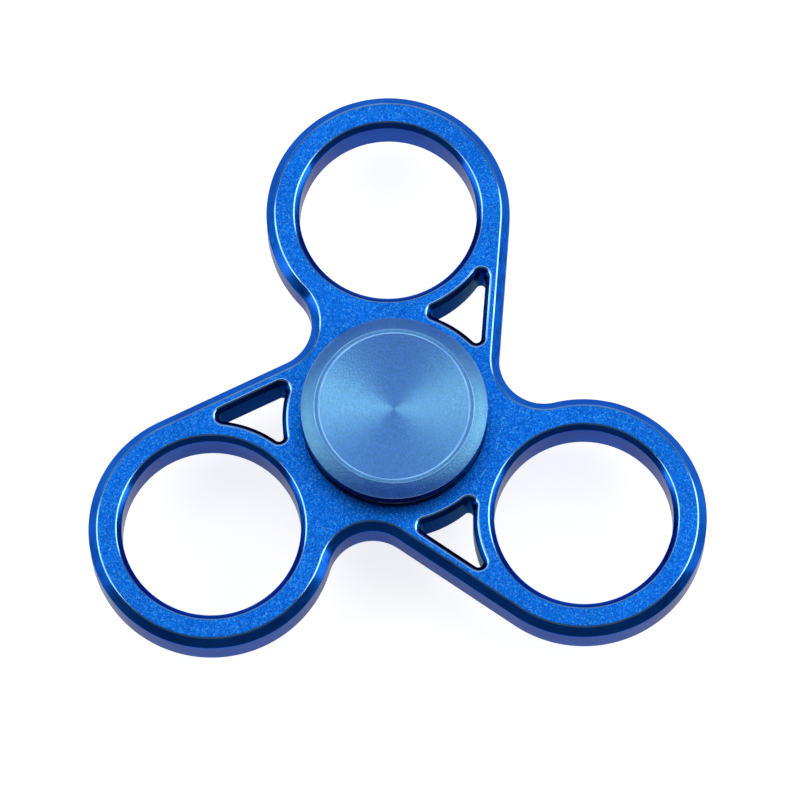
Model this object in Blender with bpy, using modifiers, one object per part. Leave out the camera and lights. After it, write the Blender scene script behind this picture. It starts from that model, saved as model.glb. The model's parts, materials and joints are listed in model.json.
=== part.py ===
"""Three-armed fidget spinner in metres: +Z is the spin axis and the origin is the middle of the ball bearing."""

import math

import bmesh
import bpy
from mathutils import Vector

# Frame
RING_HOLE_R = 0.0110
HUB_BRIDGE = 0.0043
RING_WALL = 0.0041
FRAME_T = 0.0070
OUTER_CHAMFER = 0.0011
HOLE_CHAMFER = 0.0007
WEB_W = 0.0024
WEB_HUB_WALL = 0.0012
VALLEY_R = 0.0055
WINDOW_RING_WALL = 0.0026
WINDOW_HUB_WALL = 0.0027
WINDOW_CORNER_R = 0.0006
WINDOW_CHAMFER = 0.0006
POCKET_CHAMFER = 0.0003

# Ball bearing
BEARING_BORE_R = 0.0040
BEARING_OUTER_R = 0.0110
BALL_R = 0.0019845
LAND_SHARE = 0.70
GROOVE_SHARE = 1.06
RACE_CHAMFER = 0.0003
SHIELD_T = 0.00025
SHIELD_SEAT = 0.0006
SNAP_WIRE_R = 0.0002
SNAP_GAP_DEG = 24.0
FACE_LAND = 0.0002
CAGE_HALF_W = 0.0008
CAGE_T = 0.0003
RIVET_R = 0.00025
RIVET_HEAD_R = 0.0005
RIVET_HEAD_T = 0.0002

# Finger caps and the stud that joins them
CAP_R = 0.0115
CAP_LIFT = 0.0020
CAP_WALL = 0.0021
CAP_RIM_RISE = 0.0010
CAP_RIM_W = 0.0017
CAP_LIP_W = 0.00055
CAP_DISH_DEPTH = 0.0010
CAP_EDGE = 0.00025
CAP_SHOULDER_WALL = 0.0016
STUD_R = 0.0025
STUD_HALF_LENGTH = 0.0036
SOCKET_FLATS_R = 0.00125
SOCKET_DEPTH = 0.0020

# Clearances
FIT_GAP = 0.0001
SEAT_GAP = 0.0001
BALL_GAP = 0.00006
CAGE_GAP = 0.00012
SHIELD_GAP = 0.0001455
CUTTER_REACH = 0.001

# Counts
ARMS = 3
BALLS = 7
ROUND_STEPS = 48
RACE_STEPS = 36
SMALL_STEPS = 8

# Sizes that follow from the ones above
HALF_T = FRAME_T / 2
RING_OUTER_R = RING_HOLE_R + RING_WALL
POCKET_R = BEARING_OUTER_R + FIT_GAP
RING_PITCH_R = POCKET_R + HUB_BRIDGE + RING_HOLE_R
WEB_LEAN = math.asin((RING_OUTER_R - POCKET_R - WEB_HUB_WALL) / RING_PITCH_R)
BALL_PITCH_R = (BEARING_BORE_R + BEARING_OUTER_R) / 2
OUTER_LAND_R = BALL_PITCH_R + LAND_SHARE * BALL_R
INNER_LAND_R = BALL_PITCH_R - LAND_SHARE * BALL_R
GROOVE_R = GROOVE_SHARE * BALL_R
SEAT_R = OUTER_LAND_R + SHIELD_SEAT
CAGE_POCKET_R = BALL_R + CAGE_GAP
SHIELD_BASE = CAGE_POCKET_R + CAGE_T + SHIELD_GAP
SHIELD_TOP = SHIELD_BASE + SHIELD_T
WIRE_Z = SHIELD_TOP + SEAT_GAP + SNAP_WIRE_R
WIRE_PITCH_R = SEAT_R - SNAP_WIRE_R / 4
WIRE_GROOVE_R = WIRE_PITCH_R + SNAP_WIRE_R + FIT_GAP
WIRE_GROOVE_Z = WIRE_Z + SNAP_WIRE_R + SEAT_GAP / 2
RACE_HALF_W = WIRE_GROOVE_Z + FACE_LAND - SEAT_GAP / 2
CAP_SEAT_Z = RACE_HALF_W + SEAT_GAP
CAP_UNDER_Z = max(RACE_HALF_W, HALF_T) + SEAT_GAP + CAP_LIFT
CAP_WALL_Z = CAP_UNDER_Z + CAP_WALL
CAP_LIP_Z = CAP_WALL_Z + CAP_RIM_RISE
ARM_TURN = 2 * math.pi / ARMS


def clear_scene():
    for obj in list(bpy.data.objects):
        bpy.data.objects.remove(obj, do_unlink=True)


def collection(name):
    group = bpy.data.collections.new(name)
    bpy.context.scene.collection.children.link(group)
    return group


def finish(name, colour, roughness, metallic):
    material = bpy.data.materials.new(name)
    material.use_nodes = True
    shader = material.node_tree.nodes["Principled BSDF"]
    shader.inputs["Base Color"].default_value = (*colour, 1.0)
    shader.inputs["Roughness"].default_value = roughness
    shader.inputs["Metallic"].default_value = metallic
    return material


def add_object(name, mesh, group, material=None):
    obj = bpy.data.objects.new(name, mesh)
    group.objects.link(obj)
    if material:
        mesh.materials.append(material)
    return obj


def make_cutter(obj):
    obj.hide_render = True
    obj.display_type = "WIRE"
    return obj


def polar(radius, angle):
    return Vector((radius * math.cos(angle), radius * math.sin(angle)))


def turned(point, angle):
    return Vector(
        (
            point.x * math.cos(angle) - point.y * math.sin(angle),
            point.x * math.sin(angle) + point.y * math.cos(angle),
        )
    )


def heading(vector):
    return math.atan2(vector.y, vector.x)


def arc(centre, radius, start, end, steps):
    return [centre + polar(radius, start + (end - start) * i / steps) for i in range(steps + 1)]


def shade(obj, angle_deg=35.0):
    mesh = obj.data
    mesh.shade_smooth()
    mesh.set_sharp_from_angle(angle=math.radians(angle_deg))
    return obj


def lathe(name, profile, group, material=None, steps=ROUND_STEPS, closed=False):
    """A turned piece: (radius, height) pairs that run down its outer side, spun once about Z."""
    mesh = bpy.data.meshes.new(name)
    shape = bmesh.new()
    points = [shape.verts.new((r, 0.0, z)) for r, z in profile]
    for first, second in zip(points, points[1:]):
        shape.edges.new((first, second))
    if closed:
        shape.edges.new((points[-1], points[0]))
    shape.to_mesh(mesh)
    shape.free()
    obj = add_object(name, mesh, group, material)
    screw = obj.modifiers.new("Turned", "SCREW")
    screw.axis = "Z"
    screw.angle = 2 * math.pi
    screw.steps = steps
    screw.render_steps = steps
    screw.use_merge_vertices = True
    screw.merge_threshold = 0.000001
    screw.use_normal_calculate = True
    return obj


def realise(obj):
    """Turns the live modifiers of an object into its own mesh, with doubled points merged."""
    graph = bpy.context.evaluated_depsgraph_get()
    mesh = bpy.data.meshes.new_from_object(obj.evaluated_get(graph))
    shape = bmesh.new()
    shape.from_mesh(mesh)
    bmesh.ops.remove_doubles(shape, verts=shape.verts, dist=0.000002)
    bmesh.ops.recalc_face_normals(shape, faces=shape.faces)
    shape.to_mesh(mesh)
    shape.free()
    obj.modifiers.clear()
    obj.data = mesh
    return obj


def cut(obj, cutter):
    boolean = obj.modifiers.new("Cut " + cutter.name, "BOOLEAN")
    boolean.operation = "DIFFERENCE"
    boolean.solver = "EXACT"
    boolean.object = cutter


def loft(name, loops, group):
    """A closed skin over a stack of matching loops of (point, height)."""
    mesh = bpy.data.meshes.new(name)
    shape = bmesh.new()
    rows = [[shape.verts.new((p.x, p.y, z)) for p in points] for points, z in loops]
    for lower, upper in zip(rows, rows[1:]):
        for i in range(len(lower)):
            shape.faces.new((lower[i - 1], lower[i], upper[i], upper[i - 1]))
    shape.faces.new(rows[0])
    shape.faces.new(rows[-1])
    bmesh.ops.recalc_face_normals(shape, faces=shape.faces)
    shape.to_mesh(mesh)
    shape.free()
    return add_object(name, mesh, group)


def web_normal():
    return Vector((math.cos(WEB_LEAN), -math.sin(WEB_LEAN)))


def web_along():
    return Vector((math.sin(WEB_LEAN), math.cos(WEB_LEAN)))


def frame_outline():
    """The plan outline: ring, straight web and valley fillet, repeated round the spin axis."""
    ring = Vector((0.0, RING_PITCH_R))
    neighbour = turned(ring, -ARM_TURN)
    normal = web_normal()
    along = web_along()
    reach = RING_OUTER_R + VALLEY_R
    offset = neighbour - ring
    side = reach - normal.dot(offset)
    climb = along.dot(offset) + math.sqrt(reach**2 - side**2)
    valley = ring + reach * normal + climb * along
    toward = (valley - neighbour).normalized()
    start = heading(turned(toward, ARM_TURN))
    end = heading(normal)
    while start < end:
        start += 2 * math.pi
    into = heading(-normal)
    out = heading(-toward)
    while out < into:
        out += 2 * math.pi
    third = arc(ring, RING_OUTER_R, start, end, 38)
    third += arc(valley, VALLEY_R, into, out, 12)[:-1]
    return [turned(p, -ARM_TURN * k) for k in range(ARMS) for p in third]


def window_outline(grow):
    """One rounded window between a web, its ring and the hub, grown outwards for the edge chamfer."""
    ring = Vector((0.0, RING_PITCH_R))
    hub = Vector((0.0, 0.0))
    normal = web_normal()
    along = web_along()
    ring_r = RING_HOLE_R + WINDOW_RING_WALL + WINDOW_CORNER_R
    hub_r = POCKET_R + WINDOW_HUB_WALL + WINDOW_CORNER_R
    line = RING_OUTER_R - WEB_W - WINDOW_CORNER_R
    foot = ring + line * normal
    top = foot - math.sqrt(ring_r**2 - line**2) * along
    drop = foot.dot(along)
    low = foot + (math.sqrt(drop**2 - foot.length_squared + hub_r**2) - drop) * along
    height = (RING_PITCH_R**2 + hub_r**2 - ring_r**2) / (2 * RING_PITCH_R)
    inner = Vector((math.sqrt(hub_r**2 - height**2), height))
    corner_r = WINDOW_CORNER_R + grow

    def corner(at, start, end):
        while end > start:
            end -= 2 * math.pi
        return arc(at, corner_r, start, end, 5)

    points = corner(top, heading(ring - top), heading(normal))
    points += corner(low, heading(normal), heading(hub - low))
    points += arc(hub, hub_r - corner_r, heading(low), heading(inner), 6)[1:-1]
    points += corner(inner, heading(hub - inner), heading(ring - inner))
    points += arc(ring, ring_r - corner_r, heading(inner - ring), heading(top - ring), 6)[1:-1]
    return points


def build_plate(group):
    """The frame's blank: the plan outline drawn as a filled curve and given its thickness."""
    curve = bpy.data.curves.new("frame_plan", "CURVE")
    curve.dimensions = "2D"
    curve.fill_mode = "BOTH"
    curve.extrude = HALF_T
    outline = frame_outline()
    spline = curve.splines.new("POLY")
    spline.points.add(len(outline) - 1)
    for point, place in zip(spline.points, outline):
        point.co = (place.x, place.y, 0.0, 1.0)
    spline.use_cyclic_u = True
    plan = bpy.data.objects.new("frame_plan", curve)
    group.objects.link(plan)
    graph = bpy.context.evaluated_depsgraph_get()
    mesh = bpy.data.meshes.new_from_object(plan.evaluated_get(graph))
    shape = bmesh.new()
    shape.from_mesh(mesh)
    bmesh.ops.remove_doubles(shape, verts=shape.verts, dist=0.000002)
    bmesh.ops.dissolve_limit(shape, angle_limit=math.radians(1), verts=shape.verts, edges=shape.edges)
    bmesh.ops.recalc_face_normals(shape, faces=shape.faces)
    shape.to_mesh(mesh)
    shape.free()
    frame = add_object("frame", mesh, group)
    frame.matrix_world = plan.matrix_world.copy()
    bpy.data.objects.remove(plan, do_unlink=True)
    return frame


def hole_cutter(name, radius, chamfer, group):
    flare = radius + chamfer + CUTTER_REACH
    face = HALF_T + CUTTER_REACH
    profile = [
        (0.0, face),
        (flare, face),
        (radius, HALF_T - chamfer),
        (radius, chamfer - HALF_T),
        (flare, -face),
        (0.0, -face),
    ]
    return make_cutter(realise(lathe(name, profile, group)))


def build_frame(parts, cutters, material):
    frame = build_plate(parts)
    frame.data.materials.append(material)
    chamfer = frame.modifiers.new("Outer chamfer", "BEVEL")
    chamfer.width = OUTER_CHAMFER
    chamfer.segments = 1
    chamfer.limit_method = "ANGLE"
    chamfer.angle_limit = math.radians(60)
    flare = WINDOW_CHAMFER + CUTTER_REACH
    face = HALF_T + CUTTER_REACH
    stack = [
        (flare, -face),
        (0.0, WINDOW_CHAMFER - HALF_T),
        (0.0, HALF_T - WINDOW_CHAMFER),
        (flare, face),
    ]
    cut(frame, hole_cutter("pocket_cutter", POCKET_R, POCKET_CHAMFER, cutters))
    for arm in range(ARMS):
        turn = -ARM_TURN * arm
        window = loft(
            f"window_cutter_{arm + 1}",
            [([turned(p, turn) for p in window_outline(grow)], z) for grow, z in stack],
            cutters,
        )
        cut(frame, make_cutter(window))
        hole = hole_cutter(f"ring_cutter_{arm + 1}", RING_HOLE_R, HOLE_CHAMFER, cutters)
        place = turned(Vector((0.0, RING_PITCH_R)), turn)
        hole.location = (place.x, place.y, 0.0)
        cut(frame, hole)
    bpy.context.view_layer.update()
    return shade(realise(frame))


def groove_arc(bottom_r, land_r, outward, steps):
    """Section of a ball groove, from the edge of the land above it to the edge below."""
    centre_r = bottom_r - GROOVE_R if outward else bottom_r + GROOVE_R
    spread = math.acos(abs(land_r - centre_r) / GROOVE_R)
    points = []
    for i in range(steps + 1):
        angle = spread * (1 - 2 * i / steps)
        reach = GROOVE_R * math.cos(angle)
        points.append((centre_r + reach if outward else centre_r - reach, GROOVE_R * math.sin(angle)))
    return points


def build_outer_race(parts, material):
    edge = RACE_CHAMFER
    outer = BEARING_OUTER_R
    seat_z = SHIELD_BASE - SEAT_GAP
    bottom = BALL_PITCH_R + BALL_R + BALL_GAP
    groove = groove_arc(bottom, OUTER_LAND_R, True, 6)
    top = [
        (OUTER_LAND_R, seat_z),
        (SEAT_R, seat_z),
        (SEAT_R, SHIELD_TOP),
        (WIRE_GROOVE_R, SHIELD_TOP),
        (WIRE_GROOVE_R, WIRE_GROOVE_Z),
        (SEAT_R, WIRE_GROOVE_Z),
        (SEAT_R, RACE_HALF_W),
        (outer - edge, RACE_HALF_W),
        (outer, RACE_HALF_W - edge),
    ]
    base = [(r, -z) for r, z in reversed(top)]
    profile = top + base + list(reversed(groove))
    race = lathe("bearing_outer_race", profile, parts, material, RACE_STEPS, closed=True)
    return shade(realise(race))


def build_inner_race(parts, material):
    edge = RACE_CHAMFER
    bore = BEARING_BORE_R
    bottom = BALL_PITCH_R - BALL_R - BALL_GAP
    groove = groove_arc(bottom, INNER_LAND_R, False, 6)
    top = [(bore, RACE_HALF_W - edge), (bore + edge, RACE_HALF_W), (INNER_LAND_R, RACE_HALF_W)]
    base = [(r, -z) for r, z in reversed(top)]
    profile = top + groove + base
    race = lathe("bearing_inner_race", profile, parts, material, RACE_STEPS, closed=True)
    return shade(realise(race))


def build_shield(name, sign, parts, material):
    """A pressed cover ring: its rim sits on the outer race and its lip runs clear of the inner one."""
    inner = INNER_LAND_R + 3 * FIT_GAP
    outer = SEAT_R - FIT_GAP
    middle = (inner + outer) / 2
    rise = SHIELD_T / 2
    upper = [(inner, rise), (middle - rise, rise), (middle + rise, 0.0), (outer, 0.0)]
    lower = [(r, z - SHIELD_T) for r, z in reversed(upper)]
    profile = [(r, SHIELD_TOP + z) for r, z in upper + lower]
    if sign < 0:
        profile = [(r, -z) for r, z in reversed(profile)]
    return shade(realise(lathe(name, profile, parts, material, RACE_STEPS, closed=True)))


def build_snap_wire(name, sign, parts, material):
    """A sprung wire ring with a gap, held in the outer race's groove over the rim of a shield."""
    height = sign * WIRE_Z
    gap = math.radians(SNAP_GAP_DEG) / 2
    mesh = bpy.data.meshes.new(name)
    shape = bmesh.new()
    steps = 28
    sides = 5
    rows = []
    for i in range(steps + 1):
        along = gap + (2 * math.pi - 2 * gap) * i / steps
        row = []
        for j in range(sides):
            around = 2 * math.pi * j / sides
            reach = WIRE_PITCH_R + SNAP_WIRE_R * math.cos(around)
            row.append(
                shape.verts.new(
                    (
                        reach * math.cos(along),
                        reach * math.sin(along),
                        height + SNAP_WIRE_R * math.sin(around),
                    )
                )
            )
        rows.append(row)
    for first, second in zip(rows, rows[1:]):
        for j in range(sides):
            shape.faces.new((first[j - 1], first[j], second[j], second[j - 1]))
    shape.faces.new(rows[0])
    shape.faces.new(rows[-1])
    bmesh.ops.recalc_face_normals(shape, faces=shape.faces)
    shape.to_mesh(mesh)
    shape.free()
    return shade(add_object(name, mesh, parts, material))


def build_ball(index, parts, material):
    mesh = bpy.data.meshes.new(f"ball_{index + 1}")
    shape = bmesh.new()
    bmesh.ops.create_uvsphere(shape, u_segments=12, v_segments=8, radius=BALL_R)
    shape.to_mesh(mesh)
    shape.free()
    ball = add_object(f"ball_{index + 1}", mesh, parts, material)
    place = polar(BALL_PITCH_R, 2 * math.pi * index / BALLS)
    ball.location = (place.x, place.y, 0.0)
    return shade(ball, 60.0)


def cage_stations():
    """Distances along the pitch circle, from one ball to the next half way point, where the ribbon bends."""
    outer = CAGE_POCKET_R + CAGE_T
    bends = [outer * math.sin(math.radians(a)) for a in (0, 24, 45)]
    bends += [CAGE_POCKET_R * math.sin(math.radians(a)) for a in (72, 90)]
    bends += [CAGE_POCKET_R + CAGE_T * 0.6, outer]
    return sorted(bends)


def build_cage_half(name, sign, parts, cutters, material):
    """One half of the pressed ribbon cage, bowed over every ball and flat between them."""
    pitch = 2 * math.pi / BALLS
    half = cage_stations()
    wave = [-s for s in reversed(half[1:])] + half
    inner_r = BALL_PITCH_R - CAGE_HALF_W
    outer_r = BALL_PITCH_R + CAGE_HALF_W
    bowl = CAGE_POCKET_R + CAGE_T
    flat = SEAT_GAP / 2
    mesh = bpy.data.meshes.new(name)
    shape = bmesh.new()
    rows = []
    for ball in range(BALLS):
        for s in wave:
            angle = pitch * ball + s / BALL_PITCH_R
            near = max(flat, math.sqrt(max(CAGE_POCKET_R**2 - s * s, 0.0)))
            far = max(flat + CAGE_T, math.sqrt(max(bowl**2 - s * s, 0.0)))
            corners = ((inner_r, near), (outer_r, near), (outer_r, far), (inner_r, far))
            row = [shape.verts.new((*polar(r, angle), sign * z)) for r, z in corners]
            rows.append(row)
    for i in range(len(rows)):
        for j in range(4):
            shape.faces.new((rows[i - 1][j - 1], rows[i - 1][j], rows[i][j], rows[i][j - 1]))
    bmesh.ops.recalc_face_normals(shape, faces=shape.faces)
    shape.to_mesh(mesh)
    shape.free()
    cage = add_object(name, mesh, parts, material)
    drill = bpy.data.meshes.new(name + "_drill")
    shape = bmesh.new()
    bmesh.ops.create_cone(
        shape,
        cap_ends=True,
        segments=SMALL_STEPS,
        radius1=RIVET_R + FIT_GAP / 2,
        radius2=RIVET_R + FIT_GAP / 2,
        depth=4 * CAGE_T,
    )
    shape.to_mesh(drill)
    shape.free()
    for index in range(BALLS):
        hole = add_object(f"{name}_drill_{index + 1}", drill, cutters)
        place = polar(BALL_PITCH_R, pitch * (index + 0.5))
        hole.location = (place.x, place.y, 0.0)
        cut(cage, make_cutter(hole))
    bpy.context.view_layer.update()
    return shade(realise(cage), 40.0)


def build_rivet(index, parts, material):
    """A headed pin that holds the two halves of the cage together between two balls."""
    seat = SEAT_GAP * 1.5 + CAGE_T
    top = seat + RIVET_HEAD_T
    profile = [
        (0.0, top),
        (RIVET_HEAD_R * 0.7, top),
        (RIVET_HEAD_R, seat),
        (RIVET_R, seat),
        (RIVET_R, -seat),
        (RIVET_HEAD_R, -seat),
        (RIVET_HEAD_R * 0.7, -top),
        (0.0, -top),
    ]
    rivet = realise(lathe(f"cage_rivet_{index + 1}", profile, parts, material, SMALL_STEPS))
    place = polar(BALL_PITCH_R, 2 * math.pi * (index + 0.5) / BALLS)
    rivet.location = (place.x, place.y, 0.0)
    return shade(rivet)


def cap_profile():
    """Section of a finger cap from the middle of its dish out to the rim and back along its spigot."""
    rim_r = CAP_R - CAP_RIM_W
    lip_r = rim_r - CAP_LIP_W
    dish_r = lip_r - CAP_EDGE
    dish_z = CAP_LIP_Z - CAP_EDGE
    ball = (dish_r**2 + CAP_DISH_DEPTH**2) / (2 * CAP_DISH_DEPTH)
    bottom = dish_z - CAP_DISH_DEPTH
    dish = []
    rings = 4
    for i in range(rings + 1):
        r = dish_r * i / rings
        dish.append((r, bottom + ball - math.sqrt(ball**2 - r * r)))
    shoulder_r = BEARING_BORE_R + CAP_SHOULDER_WALL
    spigot_r = BEARING_BORE_R - FIT_GAP
    bore_r = STUD_R + FIT_GAP
    bore_z = STUD_HALF_LENGTH + SEAT_GAP
    rim = [
        (lip_r, CAP_LIP_Z),
        (rim_r, CAP_LIP_Z),
        (CAP_R - CAP_EDGE, CAP_WALL_Z + CAP_EDGE * CAP_RIM_RISE / CAP_RIM_W),
        (CAP_R, CAP_WALL_Z - CAP_EDGE),
        (CAP_R, CAP_UNDER_Z + CAP_EDGE),
        (CAP_R - CAP_EDGE, CAP_UNDER_Z),
    ]
    stem = [
        (shoulder_r, CAP_UNDER_Z),
        (shoulder_r, CAP_SEAT_Z),
        (spigot_r, CAP_SEAT_Z),
        (spigot_r, SEAT_GAP * 2),
        (bore_r, SEAT_GAP * 2),
        (bore_r, bore_z),
        (0.0, bore_z),
    ]
    return dish + rim + stem


def build_cap(name, sign, parts, material):
    profile = cap_profile()
    if sign < 0:
        profile = [(r, -z) for r, z in reversed(profile)]
    return shade(realise(lathe(name, profile, parts, material)), 25.0)


def build_stud(parts, cutters, material):
    """The threaded stud, drawn plain, with a hexagon socket in its upper end."""
    edge = STUD_R / 8
    profile = [
        (0.0, STUD_HALF_LENGTH),
        (STUD_R - edge, STUD_HALF_LENGTH),
        (STUD_R, STUD_HALF_LENGTH - edge),
        (STUD_R, edge - STUD_HALF_LENGTH),
        (STUD_R - edge, -STUD_HALF_LENGTH),
        (0.0, -STUD_HALF_LENGTH),
    ]
    stud = realise(lathe("cap_stud", profile, parts, material, steps=24))
    mesh = bpy.data.meshes.new("socket_cutter")
    shape = bmesh.new()
    radius = SOCKET_FLATS_R / math.cos(math.pi / 6)
    bmesh.ops.create_cone(
        shape, cap_ends=True, segments=6, radius1=radius, radius2=radius, depth=2 * SOCKET_DEPTH
    )
    shape.to_mesh(mesh)
    shape.free()
    socket = add_object("socket_cutter", mesh, cutters)
    socket.location.z = STUD_HALF_LENGTH
    cut(stud, make_cutter(socket))
    bpy.context.view_layer.update()
    return shade(realise(stud))


def axis_empty(name, group):
    empty = bpy.data.objects.new(name, None)
    empty.empty_display_size = 0.005
    group.objects.link(empty)
    return empty


def main():
    clear_scene()
    parts = collection("fidget_spinner")
    cutters = collection("cutters")
    cutters.hide_render = True
    blue = finish("blue_anodised", (0.003, 0.13, 0.75), 0.35, 1.0)
    satin = finish("blue_satin", (0.06, 0.27, 0.72), 0.3, 1.0)
    steel = finish("bearing_steel", (0.60, 0.61, 0.62), 0.2, 1.0)
    pressed = finish("pressed_steel", (0.52, 0.53, 0.55), 0.35, 1.0)
    black = finish("black_oxide_steel", (0.03, 0.03, 0.035), 0.45, 1.0)

    spin = axis_empty("spin_axis", parts)
    orbit = axis_empty("cage_axis", parts)
    frame = build_frame(parts, cutters, blue)
    outer = build_outer_race(parts, steel)
    build_inner_race(parts, steel)
    rotor = [frame, outer]
    cage = []
    for side, sign in (("upper", 1), ("lower", -1)):
        rotor.append(build_shield(f"{side}_shield", sign, parts, pressed))
        rotor.append(build_snap_wire(f"{side}_snap_wire", sign, parts, pressed))
        cage.append(build_cage_half(f"{side}_cage_half", sign, parts, cutters, pressed))
        build_cap(f"{side}_cap", sign, parts, satin)
    for index in range(BALLS):
        cage.append(build_ball(index, parts, steel))
        cage.append(build_rivet(index, parts, pressed))
    build_stud(parts, cutters, black)
    for obj in rotor:
        obj.parent = spin
    for obj in cage:
        obj.parent = orbit


main()
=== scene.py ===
"""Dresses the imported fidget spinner: machined frame, turned caps, steel bearing, studio and camera.

Lengths are in metres and angles in radians, unless a name or a docstring says otherwise.
"""

import json
import logging
import math
from collections.abc import Callable
from dataclasses import dataclass
from enum import Enum, auto

import bmesh
import bpy
from mathutils import Matrix, Vector

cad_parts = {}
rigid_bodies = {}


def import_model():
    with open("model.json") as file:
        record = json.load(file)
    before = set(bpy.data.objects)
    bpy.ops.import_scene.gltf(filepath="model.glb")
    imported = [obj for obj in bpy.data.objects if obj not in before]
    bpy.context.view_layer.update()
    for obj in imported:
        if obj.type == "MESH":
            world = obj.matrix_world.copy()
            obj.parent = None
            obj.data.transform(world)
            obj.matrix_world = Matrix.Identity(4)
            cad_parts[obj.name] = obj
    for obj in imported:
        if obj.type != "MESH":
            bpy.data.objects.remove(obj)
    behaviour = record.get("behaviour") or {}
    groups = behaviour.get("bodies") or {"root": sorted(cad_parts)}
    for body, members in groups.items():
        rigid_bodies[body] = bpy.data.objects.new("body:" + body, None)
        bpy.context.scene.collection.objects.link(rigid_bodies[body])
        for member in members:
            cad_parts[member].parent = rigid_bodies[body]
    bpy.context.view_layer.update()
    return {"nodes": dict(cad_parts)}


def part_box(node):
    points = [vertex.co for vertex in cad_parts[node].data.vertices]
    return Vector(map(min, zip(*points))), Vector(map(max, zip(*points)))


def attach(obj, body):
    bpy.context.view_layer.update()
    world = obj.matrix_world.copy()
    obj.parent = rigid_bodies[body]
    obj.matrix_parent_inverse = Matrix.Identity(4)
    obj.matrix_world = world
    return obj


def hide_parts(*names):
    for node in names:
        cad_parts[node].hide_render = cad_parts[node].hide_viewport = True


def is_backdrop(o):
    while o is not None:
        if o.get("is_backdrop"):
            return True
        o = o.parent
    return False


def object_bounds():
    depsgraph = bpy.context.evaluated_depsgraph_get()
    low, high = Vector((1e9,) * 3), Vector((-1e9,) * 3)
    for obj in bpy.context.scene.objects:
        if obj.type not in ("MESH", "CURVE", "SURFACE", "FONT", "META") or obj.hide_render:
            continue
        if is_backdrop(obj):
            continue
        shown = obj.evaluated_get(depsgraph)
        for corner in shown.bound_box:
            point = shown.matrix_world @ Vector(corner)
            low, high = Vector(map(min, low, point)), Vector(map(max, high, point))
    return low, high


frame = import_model()

LOG = logging.getLogger("fidget_spinner")
TURN = 2 * math.pi
UP = Vector((0.0, 0.0, 1.0))
WHITE = (1.0, 1.0, 1.0, 1.0)

# A length too small to see, and the distance within which points merge.
SPECK = 0.00001
WELD = 0.0000005

# Masks that leave out a place's height, and all of a colour but its red.
IN_PLAN = (1.0, 1.0, 0.0)
RED_ONLY = (1.0, 0.0, 0.0)

# Tints of the gloss: of anodised metal at a grazing angle, and of a dyed surface seen straight on.
ANODISED_GRAZE = (0.44, 0.43, 0.45, 1.0)
DYED_GLOSS = (0.34, 0.90, 1.0, 1.0)
DYED_IOR = 4.6
COAT_IOR = 1.8

# The range in which most of a noise lies, and how many finer layers it has.
NOISE_LOW = 0.3
NOISE_HIGH = 0.7
SOFT_DETAIL = 2.0
FINE_DETAIL = 3.0

Section = list[tuple[float, float]]
Colour = tuple[float, float, float]
Tint = tuple[float, float, float, float]
Socket = bpy.types.NodeSocket


class Body(Enum):
    """The moving bodies that dressed pieces ride on."""

    HOLDER = "holder"
    ROTOR = "rotor"


class Slot(Enum):
    """Material slots of the record that the dressed pieces stand for; nothing here gives them to the
    pieces.
    """

    FRAME = "frame_blue"
    CAP = "cap_blue"


class Side(Enum):
    """The two faces of the spinner, as the sign of their height."""

    UPPER = 1
    LOWER = -1


class Surface(Enum):
    """Where a finish goes on a piece."""

    FACE = auto()
    CUT = auto()
    EDGE = auto()
    RIM = auto()
    # The windows' walls, which get a darker finish as painted shade.
    WINDOW = auto()


def srgb(red: int, green: int, blue: int) -> Colour:
    """Turns a colour written as 0 to 255 into linear light.

    Args:
        red: Red channel.
        green: Green channel.
        blue: Blue channel.

    Returns:
        The three linear channels.
    """

    def linear(channel: int) -> float:
        """One channel in linear light, by the sRGB curve."""
        share = channel / 255
        return share / 12.92 if share <= 0.04045 else ((share + 0.055) / 1.055) ** 2.4

    return linear(red), linear(green), linear(blue)


def heading(vector: Vector) -> float:
    """Angle of a plan direction from +X, in radians."""
    return math.atan2(vector.y, vector.x)


def at_angle(radius: float, angle: float) -> Vector:
    """A plan vector of that length and heading."""
    return Vector((radius * math.cos(angle), radius * math.sin(angle), 0.0))


def left_of(direction: Vector) -> Vector:
    """A plan direction turned a quarter to the left."""
    return Vector((-direction.y, direction.x, 0.0))


def turned(point: Vector, angle: float) -> Vector:
    """A point turned about the spin axis."""
    return Matrix.Rotation(angle, 3, "Z") @ point


def rounded(corners: Section, radii: list[float], steps: int) -> Section:
    """Rounds the inner corners of an open section line.

    Args:
        corners: The line's corner points.
        radii: One radius for each inner corner.
        steps: Straight steps in each rounding.

    Returns:
        The line with an arc in place of each inner corner.
    """
    line = [corners[0]]
    for before, corner, after, radius in zip(corners, corners[1:], corners[2:], radii):
        here = Vector(corner)
        back = (Vector(before) - here).normalized()
        ahead = (Vector(after) - here).normalized()
        half = back.angle(ahead) / 2
        centre = here + (back + ahead).normalized() * radius / math.sin(half)
        first = here + back * radius / math.tan(half) - centre
        last = here + ahead * radius / math.tan(half) - centre
        sweep = first.angle_signed(last)
        for step in range(steps + 1):
            share = sweep * step / steps
            across = first.x * math.cos(share) + first.y * math.sin(share)
            up = first.y * math.cos(share) - first.x * math.sin(share)
            line.append(tuple(centre + Vector((across, up))))
    line.append(corners[-1])
    return line


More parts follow.
